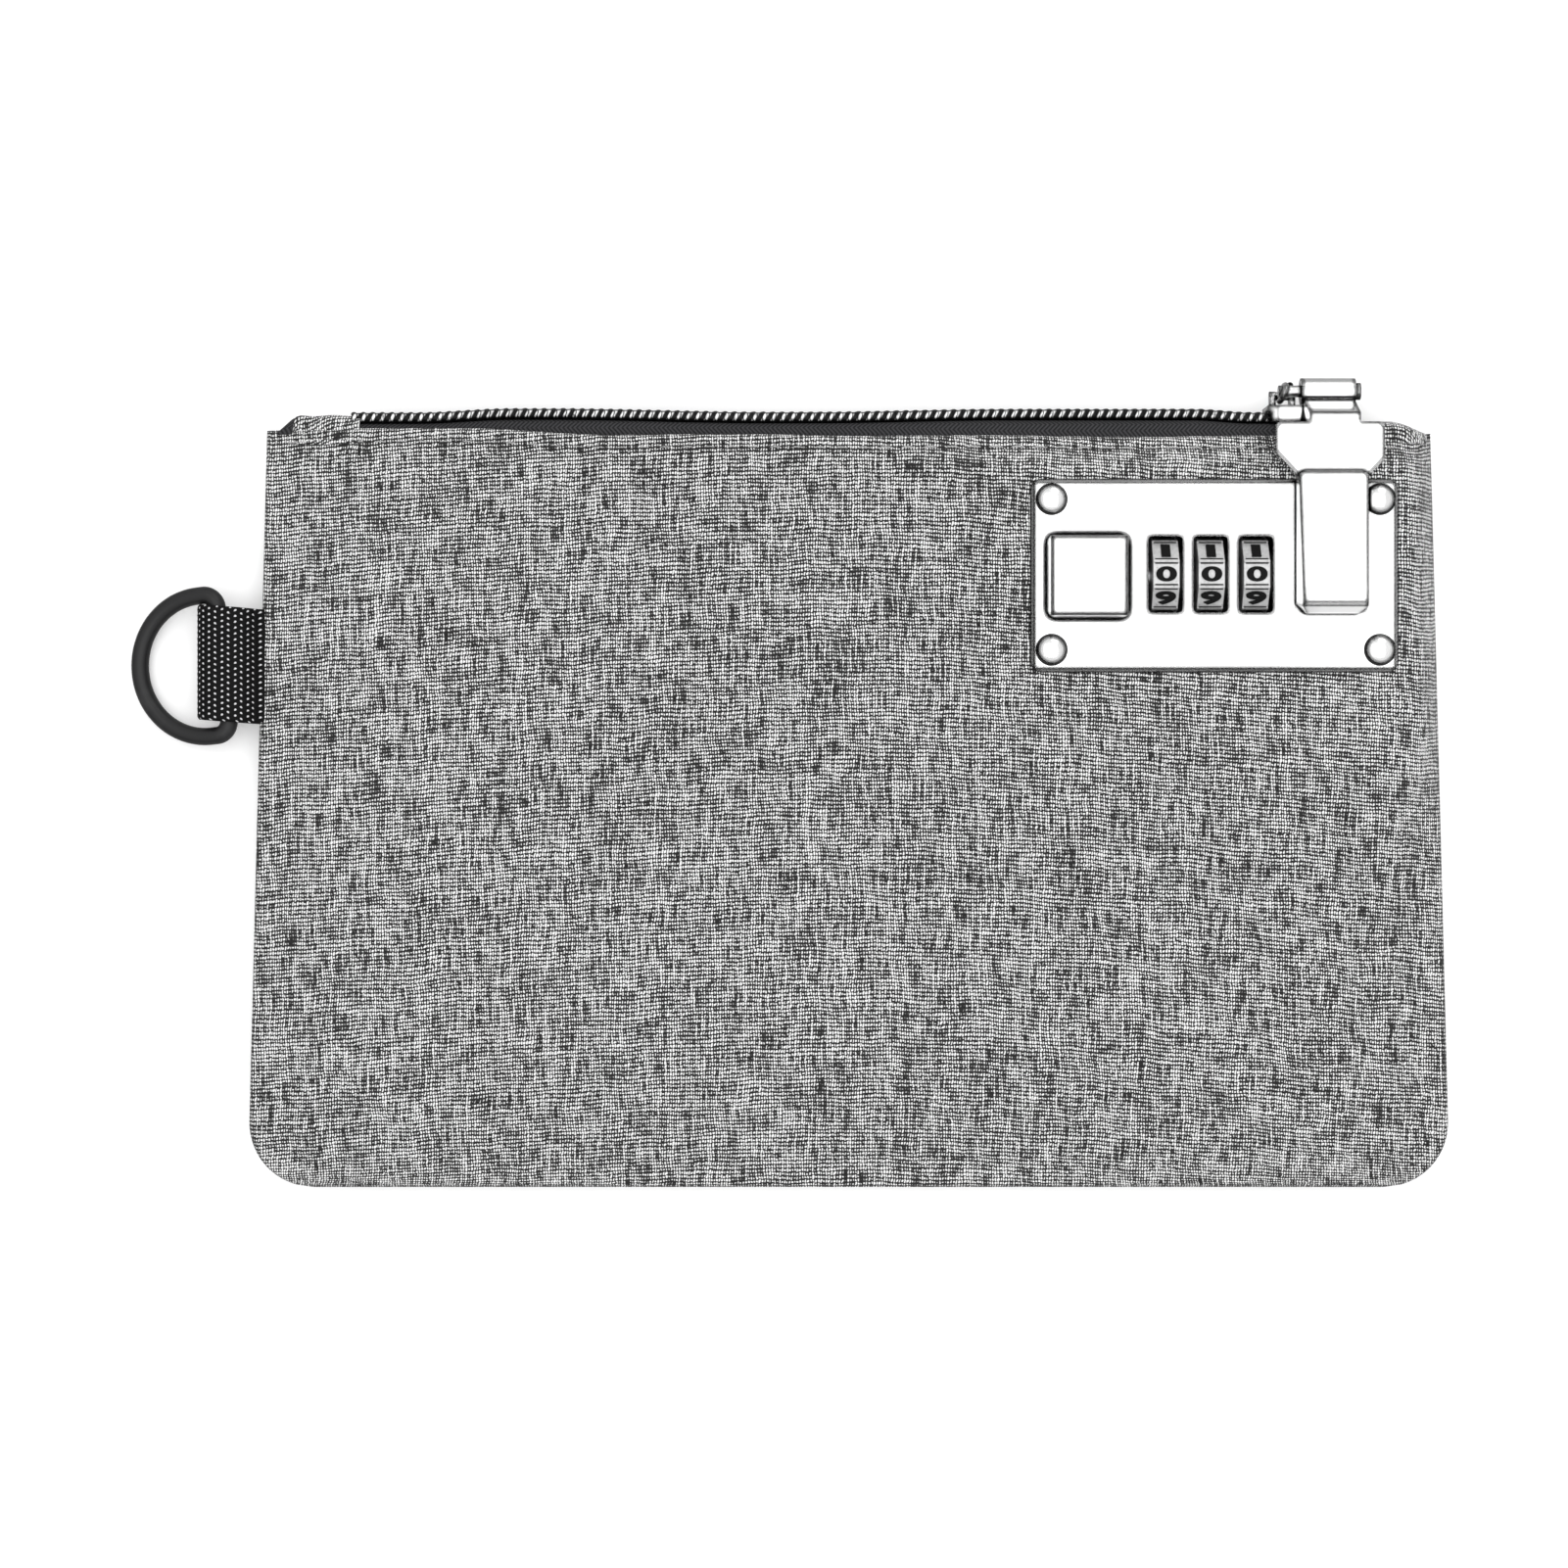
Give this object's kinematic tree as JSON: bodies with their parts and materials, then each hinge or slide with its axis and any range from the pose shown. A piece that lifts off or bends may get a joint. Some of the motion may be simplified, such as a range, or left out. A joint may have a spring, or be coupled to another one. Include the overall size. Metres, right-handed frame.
{
  "type": "locking cash deposit bag",
  "caption": "Flat fabric deposit pouch with a zip, a combination lock on its front, a hasp that ties the zip slider to the lock, and a side carry ring.",
  "frame": {"origin": "centre of the footprint, on the surface that the back panel lies on", "axes": "+X runs from the carry ring to the lock's side, +Y towards the zip, +Z out of the front panel"},
  "size_m": [0.2788, 0.1698, 0.0241],
  "materials": {
    "canvas": "plain weave with heathered yarn",
    "lining": "smooth woven lining",
    "zip_tape": "herringbone tape",
    "zip_coil": "satin nylon",
    "webbing": "ribbed webbing",
    "ring": "satin moulded",
    "chrome": "bright plated",
    "dial": "plated with dark painted digits",
    "steel": "zinc plated",
    "case": "moulded"
  },
  "bodies": {
    "bag": {"front_panel": "canvas", "back_panel": "canvas", "lining_front": "lining", "lining_back": "lining", "zip_tape_front": "zip_tape", "zip_tape_back": "zip_tape", "zip_coil_front": "zip_coil", "zip_coil_back": "zip_coil", "zip_end_tab_left": "canvas", "zip_end_tab_right": "canvas", "webbing_loop": "webbing", "lock_plate": "chrome", "rivets": "chrome", "backing_plate": "steel", "lock_case": "case", "dial_axle": "steel", "detent_spring": "steel", "button_spring": "steel", "latch_spring": "steel"},
    "slider": {"slider_body": "chrome", "slider_bridge": "chrome"},
    "eye_link": {"eye_link": "chrome", "hasp_pin": "steel"},
    "hasp": {"hasp": "chrome", "hasp_catch": "steel"},
    "dial_1": {"dial_1": "dial", "dial_cam_1": "steel"},
    "dial_2": {"dial_2": "dial", "dial_cam_2": "steel"},
    "dial_3": {"dial_3": "dial", "dial_cam_3": "steel"},
    "button": {"release_button": "chrome"},
    "latch": {"latch_bar": "steel"},
    "ring": {"d_ring": "ring"}
  },
  "joints": [
    {"name": "zip_slide", "type": "slide", "parent": "bag", "child": "slider", "axis": [-1, 0, 0], "range_m": [0, 0.186], "deforming": ["zip_coil_front", "zip_coil_back"]},
    {"name": "eye_roll", "type": "hinge", "parent": "slider", "child": "eye_link", "pos_m": [0.1039, 0.0814, 0.0066], "axis": [-1, 0, 0], "range_deg": [0, 120]},
    {"name": "hasp_swing", "type": "hinge", "parent": "eye_link", "child": "hasp", "pos_m": [0.113, 0.0819, 0.0108], "axis": [1, 0, 0], "range_deg": [-165, 0]},
    {"name": "button_press", "type": "slide", "parent": "bag", "child": "button", "axis": [0, 0, -1], "range_m": [0, 0.0022], "stiffness_N_per_m": 900, "springref_m": -0.003, "deforming": ["button_spring"]},
    {"name": "latch_slide", "type": "slide", "parent": "bag", "child": "latch", "axis": [-1, 0, 0], "range_m": [0, 0.0022], "deforming": ["latch_spring"]},
    {"name": "dial_1_spin", "type": "hinge", "parent": "bag", "child": "dial_1", "pos_m": [0.078, 0.0431, 0.0114], "axis": [1, 0, 0], "continuous": true},
    {"name": "dial_2_spin", "type": "hinge", "parent": "bag", "child": "dial_2", "pos_m": [0.08736, 0.0431, 0.0114], "axis": [1, 0, 0], "continuous": true},
    {"name": "dial_3_spin", "type": "hinge", "parent": "bag", "child": "dial_3", "pos_m": [0.09672, 0.0431, 0.0114], "axis": [1, 0, 0], "continuous": true},
    {"name": "d_ring_swing", "type": "hinge", "parent": "bag", "child": "ring", "pos_m": [-0.1192, 0.025, 0.007], "axis": [-0.1045, 0.9945, 0], "range_deg": [0, 140]}
  ],
  "couplings": [
    {"joint": "eye_roll", "follows": "zip_slide", "rad_per_m": 11.259},
    {"joint": "latch_slide", "follows": "button_press", "ratio": 1}
  ]
}
